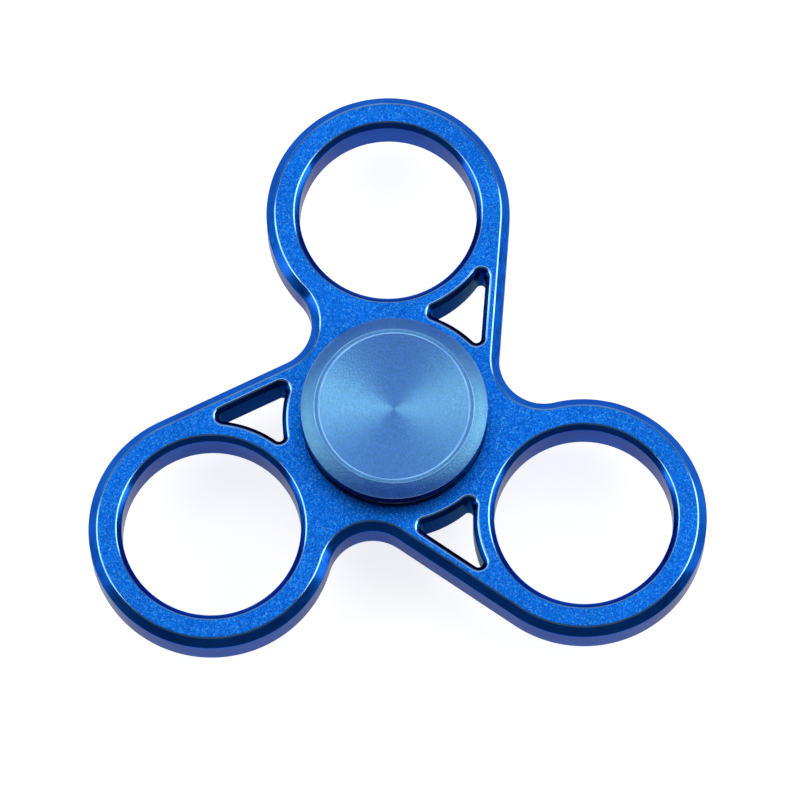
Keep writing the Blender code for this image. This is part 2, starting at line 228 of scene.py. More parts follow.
class Pen:
    """Draws chains of edges in edit mode by extruding and spinning one picked point."""

    def __init__(self, name: str) -> None:
        """Starts an empty mesh object in edit mode.

        Args:
            name: Name of the piece.
        """
        bpy.ops.object.select_all(action="DESELECT")
        bpy.ops.mesh.primitive_circle_add(vertices=3, radius=SPECK, enter_editmode=True)
        self.piece = bpy.context.object
        self.piece.name = name
        self.piece.data.name = name
        self.at = Vector()
        bpy.ops.mesh.delete(type="VERT")

    def start(self, at: Vector) -> None:
        """Puts a new point down and picks it.

        Args:
            at: Place of the point.
        """
        bpy.ops.mesh.select_all(action="DESELECT")
        bpy.ops.mesh.primitive_circle_add(vertices=3, radius=SPECK, location=at)
        bpy.ops.mesh.merge(type="CENTER")
        self.at = at.copy()

    def line(self, to: Vector) -> None:
        """Extrudes the picked point to another place."""
        bpy.ops.mesh.extrude_region_move(TRANSFORM_OT_translate={"value": to - self.at})
        self.at = to.copy()

    def arc(self, centre: Vector, angle: float, steps: int, axis: Vector = UP) -> None:
        """Spins the picked point about an axis.

        Args:
            centre: A point on the axis.
            angle: Turn by the right-hand rule, in radians.
            steps: Edges in the arc.
            axis: Direction of the axis.
        """
        # The spin operator turns by the left-hand rule.
        sense = -math.copysign(1.0, angle)
        bpy.ops.mesh.spin(steps=steps, angle=abs(angle), center=centre, axis=axis * sense)
        self.at = centre + Matrix.Rotation(angle, 3, axis) @ (self.at - centre)

    def circle(self, centre: Vector, radius: float, steps: int) -> None:
        """Adds a whole circle that lies flat."""
        bpy.ops.mesh.select_all(action="DESELECT")
        bpy.ops.mesh.primitive_circle_add(vertices=steps, radius=radius, location=centre)

    def keep(self, loop: str) -> None:
        """Merges the chain's ends and remembers it.

        Args:
            loop: Name to remember the chain by.
        """
        bpy.ops.mesh.select_linked()
        bpy.ops.mesh.remove_doubles(threshold=WELD)
        bpy.ops.object.vertex_group_assign_new()
        self.piece.vertex_groups.active.name = loop

    def pick(self, loops: list[str]) -> None:
        """Selects remembered chains and nothing else.

        Args:
            loops: Names of the chains.
        """
        bpy.ops.mesh.select_all(action="DESELECT")
        for loop in loops:
            self.piece.vertex_groups.active_index = self.piece.vertex_groups[loop].index
            bpy.ops.object.vertex_group_select()

    def bridge(self, loops: list[str]) -> None:
        """Skins a stack of remembered chains from each to the next.

        Args:
            loops: Names of the chains, in order.
        """
        for first, second in zip(loops, loops[1:]):
            self.pick([first, second])
            bpy.ops.mesh.bridge_edge_loops()

    def repeat(self, count: int) -> None:
        """Copies all that is drawn so far round the spin axis.

        Args:
            count: How many there are then, the first one with them.
        """
        bpy.ops.mesh.select_all(action="SELECT")
        for _ in range(count - 1):
            bpy.ops.mesh.duplicate()
            bpy.ops.transform.rotate(value=TURN / count, orient_axis="Z", center_override=(0.0, 0.0, 0.0))
        bpy.ops.mesh.select_all(action="SELECT")
        bpy.ops.mesh.remove_doubles(threshold=WELD)

    def fill(self, loops: list[str]) -> None:
        """Fills the flat area between remembered chains."""
        self.pick(loops)
        bpy.ops.mesh.fill(use_beauty=False)

    def revolve(self, steps: int) -> None:
        """Spins the whole drawn section once about the spin axis and closes it.

        Args:
            steps: Faces in one turn.
        """
        bpy.ops.mesh.select_all(action="SELECT")
        bpy.ops.mesh.spin(steps=steps, angle=TURN, center=(0.0, 0.0, 0.0), axis=UP)
        bpy.ops.mesh.select_all(action="SELECT")
        bpy.ops.mesh.remove_doubles(threshold=WELD)

    def lift(self) -> bpy.types.Object:
        """Leaves edit mode with the faces turned outwards.

        Returns:
            The drawn piece.
        """
        bpy.ops.mesh.select_all(action="SELECT")
        bpy.ops.mesh.normals_make_consistent(inside=False)
        bpy.ops.object.mode_set(mode="OBJECT")
        self.piece.vertex_groups.clear()
        return self.piece


class Bench:
    """Finishing operations on a drawn piece."""

    @staticmethod
    def apply(piece: bpy.types.Object, kind: str, **settings: object) -> None:
        """Adds a modifier, sets it and applies it.

        Args:
            piece: The piece to change.
            kind: Modifier type.
            settings: Modifier properties.
        """
        bpy.context.view_layer.objects.active = piece
        modifier = piece.modifiers.new(kind.title(), kind)
        for key, value in settings.items():
            setattr(modifier, key, value)
        bpy.ops.object.modifier_apply(modifier=modifier.name)

    @staticmethod
    def smooth(piece: bpy.types.Object) -> None:
        """Shades a piece smooth, with its large faces kept true.

        Args:
            piece: The piece to shade.
        """
        bpy.ops.object.select_all(action="DESELECT")
        piece.select_set(True)
        bpy.context.view_layer.objects.active = piece
        bpy.ops.object.shade_smooth()
        Bench.apply(piece, "WEIGHTED_NORMAL", keep_sharp=False)

    @staticmethod
    def paint(
        piece: bpy.types.Object,
        finishes: dict[Surface, bpy.types.Material],
        choose: Callable[[Vector, Vector], Surface],
    ) -> None:
        """Gives each face of a piece one of several finishes.

        Args:
            piece: The piece to paint.
            finishes: The material of each kind of surface.
            choose: Picks a surface from a face's middle and normal.
        """
        piece.data.materials.clear()
        for finish in finishes.values():
            piece.data.materials.append(finish)
        bpy.context.view_layer.objects.active = piece
        bpy.ops.object.mode_set(mode="EDIT")
        bpy.ops.mesh.select_mode(type="FACE")
        for index, surface in enumerate(finishes):
            bpy.ops.mesh.select_all(action="DESELECT")
            shape = bmesh.from_edit_mesh(piece.data)
            for face in shape.faces:
                face.select_set(choose(face.calc_center_median(), face.normal) is surface)
            bmesh.update_edit_mesh(piece.data)
            piece.active_material_index = index
            bpy.ops.object.material_slot_assign()
        bpy.ops.mesh.select_mode(type="VERT")
        bpy.ops.object.mode_set(mode="OBJECT")

    @staticmethod
    def seat(piece: bpy.types.Object, body: Body, slot: Slot, *nodes: str) -> None:
        """Puts a piece on its body in place of the solids that it stands for.

        Args:
            piece: The finished piece.
            body: The body that it rides on.
            slot: Its material slot in the record; not used.
            nodes: The solids that it replaces.
        """
        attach(piece, body.value)
        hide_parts(*nodes)
        LOG.info("%s: %d faces on %s", piece.name, len(piece.data.polygons), body.value)


class Board:
    """A material's node tree with a Principled shader to wire up."""

    # A Mix node's colour sockets share their names with its other kinds, so they go by index.
    MIX_FIRST = 6
    MIX_SECOND = 7
    MIX_RESULT = 2

    def __init__(self, name: str) -> None:
        """Starts a new material with its shader and output.

        Args:
            name: Name of the material.
        """
        self.material = bpy.data.materials.new(name)
        self.material.use_nodes = True
        self.tree = self.material.node_tree
        self.tree.nodes.clear()
        self.shader = self.add("ShaderNodeBsdfPrincipled")
        output = self.add("ShaderNodeOutputMaterial")
        self.tree.links.new(self.shader.outputs["BSDF"], output.inputs["Surface"])
        self.place = self.add("ShaderNodeTexCoord").outputs["Object"]

    def add(self, kind: str, sockets: dict | None = None, **settings: object) -> bpy.types.Node:
        """Adds a node.

        Args:
            kind: Node type.
            sockets: Values or links for its inputs, by name or index.
            settings: Node properties.

        Returns:
            The new node.
        """
        node = self.tree.nodes.new(kind)
        for key, value in settings.items():
            setattr(node, key, value)
        for key, value in (sockets or {}).items():
            self.feed(node.inputs[key], value)
        return node

    def feed(self, target: Socket, value: object) -> None:
        """Links an input to an output, or sets its value.

        Args:
            target: The input.
            value: An output socket, or a plain value.
        """
        if isinstance(value, Socket):
            self.tree.links.new(value, target)
        else:
            target.default_value = value

    def set(self, **values: object) -> None:
        """Sets or links the shader's own inputs, with _ for a space in their names."""
        for key, value in values.items():
            self.feed(self.shader.inputs[key.replace("_", " ")], value)

    def calc(self, operation: str, first: object, second: object) -> Socket:
        """Works out one number from two."""
        return self.add("ShaderNodeMath", {0: first, 1: second}, operation=operation).outputs[0]

    def vector(self, operation: str, output: str, *operands: object) -> Socket:
        """Works out a vector operation on one or two operands."""
        node = self.add("ShaderNodeVectorMath", dict(enumerate(operands)), operation=operation)
        return node.outputs[output]

    def in_plan(self) -> Socket:
        """The place with its height left out."""
        return self.vector("MULTIPLY", "Vector", self.place, IN_PLAN)

    def rings(self, height: object = 0.0) -> Socket:
        """A place for turned patterns: the distance from the spin axis, then a height."""
        radius = self.vector("LENGTH", "Value", self.in_plan())
        return self.add("ShaderNodeCombineXYZ", {"X": radius, "Y": height}).outputs[0]

    def noise(self, size: float, detail: float = SOFT_DETAIL, place: object = None) -> Socket:
        """Cloudy noise with lumps of about the given size in metres."""
        sockets = {"Vector": place or self.place, "Scale": 1.0 / size, "Detail": detail}
        return self.add("ShaderNodeTexNoise", sockets).outputs["Fac"]

    def band(self, value: object, low: float, high: float, to_low: float, to_high: float) -> Socket:
        """Maps a range of one number softly onto another range."""
        sockets = {"Value": value, "From Min": low, "From Max": high, "To Min": to_low, "To Max": to_high}
        return self.add("ShaderNodeMapRange", sockets, interpolation_type="SMOOTHSTEP").outputs[0]

    def shades(self, value: object, stops: list[tuple[float, Colour]]) -> Socket:
        """Colours one number by a ramp.

        Args:
            value: The number.
            stops: Positions on the ramp with their colours.

        Returns:
            The colour.
        """
        node = self.add("ShaderNodeValToRGB", {"Fac": value})
        ramp = node.color_ramp
        while len(ramp.elements) < len(stops):
            ramp.elements.new(1.0)
        for element, (position, colour) in zip(ramp.elements, stops):
            element.position = position
            element.color = (*colour, 1.0)
        return node.outputs["Color"]

    def blend(self, share: object, first: object, second: object) -> Socket:
        """Mixes two colours."""
        sockets = {"Factor": share, self.MIX_FIRST: first, self.MIX_SECOND: second}
        return self.add("ShaderNodeMix", sockets, data_type="RGBA").outputs[self.MIX_RESULT]

    def bump(self, height: object, strength: float, depth: float) -> None:
        """Roughens the shader's normal by a height pattern."""
        sockets = {"Strength": strength, "Distance": depth, "Height": height}
        self.set(Normal=self.add("ShaderNodeBump", sockets).outputs["Normal"])


@dataclass(frozen=True)
class Scratch:
    """One hairline scratch on the upper face, by its ends in plan, with breaks along it."""

    start: tuple[float, float]
    end: tuple[float, float]
    width: float = 0.00007
    break_size: float = 0.0006
    break_low: float = 0.42
    break_high: float = 0.6


@dataclass(frozen=True)
class BlastedBlue:
    """Bead-blasted and anodised aluminium with a fine sparkle, which is painted glints: light cells in
    its base colour.

    The depth of its bump is bite times the size of the grain.
    """

    name: str = "blasted_blue"
    deep: Colour = srgb(0, 80, 196)
    middle: Colour = srgb(3, 106, 223)
    bright: Colour = srgb(22, 136, 250)
    # The light colour of the painted glints, also used for the scratches, which are wear.
    glint_and_scratch: Colour = srgb(80, 178, 255)
    grain: float = 0.00017
    grain_levels: tuple[float, float, float] = (0.30, 0.50, 0.72)
    painted_glint_size: float = 0.00014
    painted_glint_level: float = 0.78
    painted_glint_share: float = 0.6
    mottle: float = 0.006
    mottle_low: float = 0.93
    mottle_high: float = 1.05
    rough_low: float = 0.34
    rough_high: float = 0.46
    coat: float = 0.04
    coat_rough: float = 0.5
    metallic: float = 1.0
    gloss: Tint = ANODISED_GRAZE
    ior: float = 1.5
    relief: float = 0.5
    bite: float = 0.4
    scratches: tuple[Scratch, ...] = (
        Scratch((0.01335, -0.0004), (0.01245, -0.0046)),
        Scratch((0.0111, -0.0069), (0.0103, -0.0080)),
        Scratch((0.0162, 0.0017), (0.0167, 0.0007)),
    )

    def scuff(self, board: Board, scratch: Scratch) -> Socket:
        """Draws one scratch as a broken line.

        Args:
            board: The material's nodes.
            scratch: The scratch to draw.

        Returns:
            A mask that is 1 on the scratch.
        """
        start = Vector((*scratch.start, 0.0))
        run = Vector((*scratch.end, 0.0)) - start
        reach = board.vector("SUBTRACT", "Vector", board.in_plan(), start)
        along = board.vector("DOT_PRODUCT", "Value", reach, run / run.length_squared)
        share = board.add("ShaderNodeClamp", {"Value": along}).outputs[0]
        foot = board.add("ShaderNodeVectorMath", {0: run, "Scale": share}, operation="SCALE").outputs[0]
        miss = board.vector("DISTANCE", "Value", reach, foot)
        line = board.band(miss, scratch.width / 2, scratch.width, 1.0, 0.0)
        breaks = board.noise(scratch.break_size)
        broken = board.band(breaks, scratch.break_low, scratch.break_high, 0.0, 1.0)
        return board.calc("MULTIPLY", line, broken)

    def material(self) -> bpy.types.Material:
        """Wires the finish.

        Returns:
            The new material.
        """
        board = Board(self.name)
        glint_and_scratch = (*self.glint_and_scratch, 1.0)
        grain = board.noise(self.grain, FINE_DETAIL)
        colour = board.shades(grain, list(zip(self.grain_levels, (self.deep, self.middle, self.bright))))
        cells = board.add("ShaderNodeTexVoronoi", {"Vector": board.place, "Scale": 1.0 / self.painted_glint_size})
        lot = board.vector("DOT_PRODUCT", "Value", cells.outputs["Color"], RED_ONLY)
        # Painted glints: a share of the grain's cells is lightened in the base colour.
        colour = board.blend(board.band(lot, self.painted_glint_level, 1.0, 0.0, self.painted_glint_share), colour, glint_and_scratch)
        # The scratches are wear, drawn in the same light colour as the painted glints.
        for scratch in self.scratches:
            colour = board.blend(self.scuff(board, scratch), colour, glint_and_scratch)
        cloud = board.noise(self.mottle)
        shade = board.band(cloud, NOISE_LOW, NOISE_HIGH, self.mottle_low, self.mottle_high)
        tone = board.add("ShaderNodeHueSaturation", {"Value": shade, "Color": colour})
        board.set(
            Base_Color=tone.outputs["Color"],
            Metallic=self.metallic,
            Roughness=board.band(grain, NOISE_LOW, NOISE_HIGH, self.rough_high, self.rough_low),
            Specular_Tint=self.gloss,
            IOR=self.ior,
            Coat_Weight=self.coat,
            Coat_Roughness=self.coat_rough,
            Coat_IOR=COAT_IOR,
        )
        board.bump(grain, self.relief, self.grain * self.bite)
        return board.material


@dataclass(frozen=True)
class CutBlue:
    """Milled and anodised aluminium, smoother than the blasted faces.

    The depth of its bump is bite times the size of the tool's lines.
    """

    name: str = "cut_blue"
    deep: Colour = srgb(4, 82, 190)
    bright: Colour = srgb(12, 99, 209)
    rough_low: float = 0.17
    rough_high: float = 0.25
    coat: float = 0.06
    coat_rough: float = 0.15
    gloss: Tint = ANODISED_GRAZE
    line: float = 0.00035
    line_stretch: tuple[float, float, float] = (0.25, 0.25, 1.6)
    cloud: float = 0.004
    relief: float = 0.06
    bite: float = 0.1

    def material(self) -> bpy.types.Material:
        """Wires the finish.

        Returns:
            The new material.
        """
        board = Board(self.name)
        stretch = board.vector("MULTIPLY", "Vector", board.place, self.line_stretch)
        tool = board.noise(self.line, place=stretch)
        cloud = board.noise(self.cloud)
        board.set(
            Base_Color=board.shades(cloud, [(NOISE_LOW, self.deep), (NOISE_HIGH, self.bright)]),
            Metallic=1.0,
            Roughness=board.band(tool, NOISE_LOW, NOISE_HIGH, self.rough_low, self.rough_high),
            Specular_Tint=self.gloss,
            Coat_Weight=self.coat,
            Coat_Roughness=self.coat_rough,
            Coat_IOR=COAT_IOR,
        )
        board.bump(tool, self.relief, self.line * self.bite)
        return board.material


# The rounded edges' finish is much lighter than the faces: painted highlight, with some edge wear.
EDGE_WEAR_AND_HIGHLIGHT = CutBlue(
    "edge_wear_and_painted_highlight",
    deep=srgb(74, 146, 234),
    bright=srgb(118, 184, 248),
    rough_low=0.14,
    rough_high=0.20,
    coat=1.0,
)


@dataclass(frozen=True)
class TurnedBlue:
    """Lathe-turned and anodised aluminium, whose fine rings stretch highlights into wedges.

    The depth of its bump is bite times the size of the grain.
    """

    name: str = "turned_blue"
    deep: Colour = srgb(0, 36, 178)
    bright: Colour = srgb(2, 66, 230)
    ring: float = 0.00012
    ring_share: float = 0.35
    grain: float = 0.00022
    level_low: float = 0.38
    level_high: float = 0.62
    stretch: float = 0.82
    rough_low: float = 0.46
    rough_high: float = 0.60
    relief: float = 0.8
    bite: float = 0.6

    def material(self) -> bpy.types.Material:
        """Wires the finish.

        Returns:
            The new material.
        """
        board = Board(self.name)
        groove = board.noise(self.ring, place=board.rings())
        grain = board.noise(self.grain, FINE_DETAIL)
        mixed = board.calc(
            "ADD",
            board.calc("MULTIPLY", groove, self.ring_share),
            board.calc("MULTIPLY", grain, 1.0 - self.ring_share),
        )
        board.set(
            Base_Color=board.shades(mixed, [(self.level_low, self.deep), (self.level_high, self.bright)]),
            Roughness=board.band(mixed, self.level_low, self.level_high, self.rough_high, self.rough_low),
            Specular_Tint=DYED_GLOSS,
            IOR=DYED_IOR,
            Anisotropic=self.stretch,
            Tangent=board.vector("NORMALIZE", "Vector", board.in_plan()),
        )
        board.bump(mixed, self.relief, self.grain * self.bite)
        return board.material


@dataclass(frozen=True)
class GroundSteel:
    """Bearing steel, ground or pressed, with a brushed roughness.

    The depth of its bump is bite times the size of the brush lines.
    """

    name: str
    deep: Colour
    bright: Colour
    rough_low: float
    rough_high: float
    line: float = 0.0003
    relief: float = 0.08
    bite: float = 0.1

    def material(self) -> bpy.types.Material:
        """Wires the finish.

        Returns:
            The new material.
        """
        board = Board(self.name)
        height = board.add("ShaderNodeSeparateXYZ", {0: board.place}).outputs["Z"]
        groove = board.noise(self.line, place=board.rings(height))
        board.set(
            Base_Color=board.shades(groove, [(NOISE_LOW, self.deep), (NOISE_HIGH, self.bright)]),
            Metallic=1.0,
            Roughness=board.band(groove, NOISE_LOW, NOISE_HIGH, self.rough_low, self.rough_high),
        )
        board.bump(groove, self.relief, self.line * self.bite)
        return board.material


@dataclass(frozen=True)
class RoundHole:
    """A round opening in the frame."""

    name: str
    section: Section
    centre: Vector
    radius: float
    steps: int = 144

    def draw(self, pen: Pen, depth: float, height: float) -> None:
        """Draws the opening grown into the metal by a depth, at a height."""
        pen.circle(self.centre + UP * height, self.radius + depth, self.steps)


@dataclass(frozen=True)
class ArmOutline:
    """One arm's share of the frame's outline: ring, straight web and valley fillet."""

    name: str
    section: Section
    pitch_r: float
    ring_r: float
    valley_r: float
    normal: Vector
    arms: int
    ring_steps: int = 150
    valley_steps: int = 44

    def draw(self, pen: Pen, depth: float, height: float) -> None:
        """Draws the outline drawn in by a depth, at a height.

        Args:
            pen: The pen to draw with.
            depth: How far the line lies inside the outer wall.
            height: Height of the line.
        """
        turn = TURN / self.arms
        along = left_of(self.normal)
        ring = Vector((0.0, self.pitch_r, 0.0))
        neighbour = turned(ring, -turn)
        reach = self.ring_r + self.valley_r
        offset = neighbour - ring
        side = reach - self.normal.dot(offset)
        climb = along.dot(offset) + math.sqrt(reach**2 - side**2)
        valley = ring + reach * self.normal + climb * along
        toward = (valley - neighbour).normalized()
        start = heading(turned(toward, turn))
        sweep = (heading(self.normal) - start) % TURN - TURN
        bend = (heading(-toward) - heading(-self.normal)) % TURN
        lift = UP * height
        pen.start(ring + at_angle(self.ring_r - depth, start) + lift)
        pen.arc(ring + lift, sweep, self.ring_steps)
        pen.line(valley - self.normal * (self.valley_r + depth) + lift)
        pen.arc(valley + lift, bend, self.valley_steps)


@dataclass(frozen=True)
class WebWindow:
    """A three-cornered window between a web, its ring and the hub."""

    name: str
    section: Section
    pitch_r: float
    ring_side_r: float
    hub_side_r: float
    web_line: float
    corner_r: float
    normal: Vector
    corner_steps: int = 14
    side_steps: int = 24

    def draw(self, pen: Pen, depth: float, height: float) -> None:
        """Draws the window grown into the metal by a depth, at a height.

        Args:
            pen: The pen to draw with.
            depth: How far the line lies outside the window's wall.
            height: Height of the line.
        """
        along = left_of(self.normal)
        ring = Vector((0.0, self.pitch_r, 0.0))
        ring_r = self.ring_side_r + self.corner_r
        hub_r = self.hub_side_r + self.corner_r
        line = self.web_line - self.corner_r
        foot = ring + line * self.normal
        top = foot - math.sqrt(ring_r**2 - line**2) * along
        drop = foot.dot(along)
        low = foot + (math.sqrt(drop**2 - foot.length_squared + hub_r**2) - drop) * along
        middle = (self.pitch_r**2 + hub_r**2 - ring_r**2) / (2 * self.pitch_r)
        inner = Vector((math.sqrt(hub_r**2 - middle**2), middle, 0.0))
        corner = self.corner_r + depth
        lift = UP * height

        def bend(centre: Vector, first: Vector, last: Vector) -> None:
            """Turns a corner clockwise from one direction to another."""
            sweep = (heading(last) - heading(first)) % TURN - TURN
            pen.arc(centre + lift, sweep, self.corner_steps)

        pen.start(top + (ring - top).normalized() * corner + lift)
        bend(top, ring - top, self.normal)
        pen.line(low + self.normal * corner + lift)
        bend(low, self.normal, -low)
        pen.arc(lift, heading(inner) - heading(low), self.side_steps)
        bend(inner, -inner, ring - inner)
        pen.arc(ring + lift, heading(top - ring) - heading(inner - ring), self.side_steps)

    def holds(self, point: Vector) -> bool:
        """Tells whether a point of the arm lies in the window or in its walls, chamfers and edges.

        Args:
            point: A point with the arm along Y.

        Returns:
            Whether it is the window's.
        """
        reach = max(depth for depth, _ in self.section)
        plan = Vector((point.x, point.y, 0.0))
        ring = plan - Vector((0.0, self.pitch_r, 0.0))
        if plan.x < 0.0 or not 0.0 < plan.y < self.pitch_r:
            return False
        clear = min(
            plan.length - self.hub_side_r,
            ring.length - self.ring_side_r,
            self.web_line - ring.dot(self.normal),
        )
        return clear > -reach


Contour = RoundHole | ArmOutline | WebWindow


@dataclass
class SpinnerFrame:
    """The one-piece frame: three finger rings on webs round the bearing pocket.

    The slopes are the upright shares of a mesh face's normal above which it counts as flat or as a
    rounded edge.
    """

    arms: int = 3
    ring_hole_r: float = 0.0110
    hub_bridge: float = 0.0043
    ring_wall: float = 0.0041
    outer_chamfer: float = 0.0011
    hole_chamfer: float = 0.0007
    web_w: float = 0.0024
    web_hub_wall: float = 0.0012
    valley_r: float = 0.0055
    window_ring_wall: float = 0.0026
    window_hub_wall: float = 0.0027
    window_corner_r: float = 0.0006
    window_chamfer: float = 0.0006
    pocket_r: float = 0.0111
    pocket_chamfer: float = 0.0003
    edge_r: float = 0.0004
    hole_edge_r: float = 0.00036
    wall_edge_r: float = 0.00018
    edge_steps: int = 6
    face_slope: float = 0.975
    window_face_slope: float = 0.999
    edge_slope: float = 0.72
    blasted: BlastedBlue = BlastedBlue()
    cut: CutBlue = CutBlue()
    # The lighter finish on the frame's rounded edges: painted highlight, with some edge wear.
    bright: CutBlue = EDGE_WEAR_AND_HIGHLIGHT
    # The windows' walls are painted darker and less glossy than the other cuts: painted shade in the
    # recesses.
    painted_window_shade: CutBlue = CutBlue(
        "window_blue",
        deep=srgb(2, 52, 132),
        bright=srgb(6, 66, 152),
        rough_low=0.22,
        rough_high=0.32,
        coat=0.0,
        gloss=(0.24, 0.36, 0.36, 1.0),
    )

    @property
    def ring_r(self) -> float:
        """Outer radius of a ring."""
        return self.ring_hole_r + self.ring_wall

    @property
    def pitch_r(self) -> float:
        """Distance of a ring's middle from the spin axis."""
        return self.pocket_r + self.hub_bridge + self.ring_hole_r

    @property
    def web_normal(self) -> Vector:
        """Outward direction of the web's wall on the arm along Y."""
        lean = math.asin((self.ring_r - self.pocket_r - self.web_hub_wall) / self.pitch_r)
        return at_angle(1.0, -lean)

    def section(self, chamfer: float, edge_r: float) -> Section:
        """The edge of the plate from its upper face to half its thickness.

        Args:
            chamfer: Width of the chamfer.
            edge_r: Rounding between face and chamfer.

        Returns:
            (depth into the metal, height) points from the face down.
        """
        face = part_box("frame")[1].z
        # The first corner lies further in on the face and only gives the rounding its direction.
        corners = [(2 * chamfer, face), (chamfer, face), (0.0, face - chamfer), (0.0, 0.0)]
        return rounded(corners, [edge_r, self.wall_edge_r], self.edge_steps)[1:]

    def outline(self) -> ArmOutline:
        """One arm's share of the outline."""
        section = self.section(self.outer_chamfer, self.edge_r)
        return ArmOutline(
            "outline", section, self.pitch_r, self.ring_r, self.valley_r, self.web_normal, self.arms
        )

    def ring_hole(self) -> RoundHole:
        """The hole in the ring of one arm."""
        section = self.section(self.hole_chamfer, self.hole_edge_r)
        return RoundHole("ring", section, Vector((0.0, self.pitch_r, 0.0)), self.ring_hole_r)

    def window(self) -> WebWindow:
        """The window of one arm."""
        return WebWindow(
            "window",
            section=self.section(self.window_chamfer, self.hole_edge_r),
            pitch_r=self.pitch_r,
            ring_side_r=self.ring_hole_r + self.window_ring_wall,
            hub_side_r=self.pocket_r + self.window_hub_wall,
            web_line=self.ring_r - self.web_w,
            corner_r=self.window_corner_r,
            normal=self.web_normal,
        )

    def pocket(self) -> RoundHole:
        """The bearing's pocket in the hub."""
        section = self.section(self.pocket_chamfer, self.wall_edge_r)
        return RoundHole("pocket", section, Vector(), self.pocket_r)

    def skin(self, pen: Pen, contour: Contour) -> str:
        """Draws a contour at each height of its section and skins it.

        Args:
            pen: The pen to draw with.
            contour: The outline, hole or window.

        Returns:
            The name of its line in the upper face.
        """
        loops = []
        for level, (depth, height) in enumerate(contour.section):
            contour.draw(pen, depth, height)
            loops.append(f"{contour.name}_{level}")
            pen.keep(loops[-1])
        pen.bridge(loops)
        return loops[0]

    def build(self) -> bpy.types.Object:
        """Draws and skins the upper half of one arm, copies it round the hub and mirrors the whole.

        Returns:
            The frame.
        """
        pen = Pen("machined_frame")
        tops = [self.skin(pen, contour) for contour in (self.outline(), self.ring_hole(), self.window())]
        pen.repeat(self.arms)
        tops.append(self.skin(pen, self.pocket()))
        pen.fill(tops)
        piece = pen.lift()
        Bench.apply(piece, "MIRROR", use_axis=(False, False, True), merge_threshold=WELD)
        return piece

    def dress(self, piece: bpy.types.Object) -> None:
        """Paints the frame and seats it on the rotor.

        Args:
            piece: The frame.
        """
        window = self.window()

        def surface(middle: Vector, normal: Vector) -> Surface:
            """Tells the faces, their rounded edges, the windows' walls and the other cuts apart.

            Args:
                middle: Middle of a mesh face.
                normal: Its direction.

            Returns:
                Where the mesh face belongs.
            """
            slope = abs(normal.z)
            arms = [turned(middle, TURN * arm / self.arms) for arm in range(self.arms)]
            inside = any(window.holds(point) for point in arms)
            if slope > (self.window_face_slope if inside else self.face_slope):
                return Surface.FACE
            # The rounded edges take the lighter edge finish: painted highlight, with some edge wear.
            if slope > self.edge_slope:
                return Surface.EDGE
            # The windows' walls get the darker finish: painted shade.
            return Surface.WINDOW if inside else Surface.CUT

        finishes = {
            Surface.FACE: self.blasted.material(),
            Surface.CUT: self.cut.material(),
            Surface.EDGE: self.bright.material(),
            Surface.WINDOW: self.painted_window_shade.material(),
        }
        Bench.paint(piece, finishes, surface)
        Bench.smooth(piece)
        Bench.seat(piece, Body.ROTOR, Slot.FRAME, "frame")


